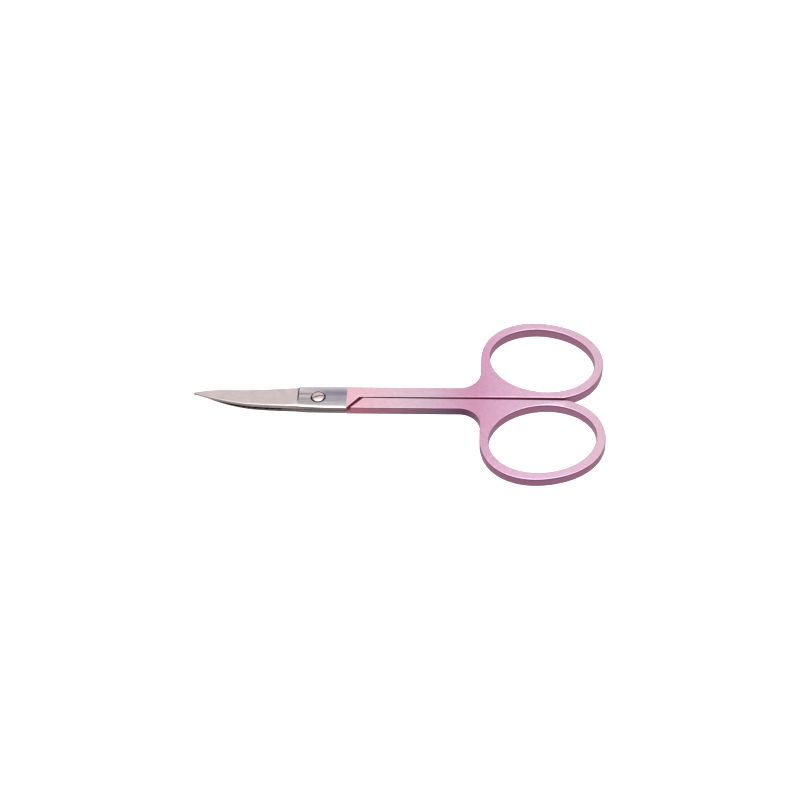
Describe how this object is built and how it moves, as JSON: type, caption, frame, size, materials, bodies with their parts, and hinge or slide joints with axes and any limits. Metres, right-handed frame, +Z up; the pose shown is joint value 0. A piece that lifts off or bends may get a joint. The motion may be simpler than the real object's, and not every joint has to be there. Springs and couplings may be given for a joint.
{
  "type": "eyebrow scissors",
  "caption": "Small grooming scissors with upswept pointed blades and oval finger loops, half-lapped on a slotted pivot screw.",
  "frame": {"origin": "middle of the closed scissors' length and width, on the plane that they lie on", "axes": "+X from the blade tips to the finger loops, +Z up through the screw head"},
  "size_m": [0.0922, 0.047, 0.0032],
  "materials": {
    "coated_steel": "satin pink metallic coat over steel",
    "bare_steel": "ground and lightly brushed stainless steel"
  },
  "bodies": {
    "lower": {"lower_half": "coated_steel", "pivot_screw": "bare_steel"},
    "upper": {"upper_half": "coated_steel"}
  },
  "joints": [
    {"name": "pivot", "type": "hinge", "parent": "lower", "child": "upper", "pos_m": [-0.01794, 0, 0.0011], "axis": [0, 0, 1], "range_deg": [0, 130]}
  ]
}
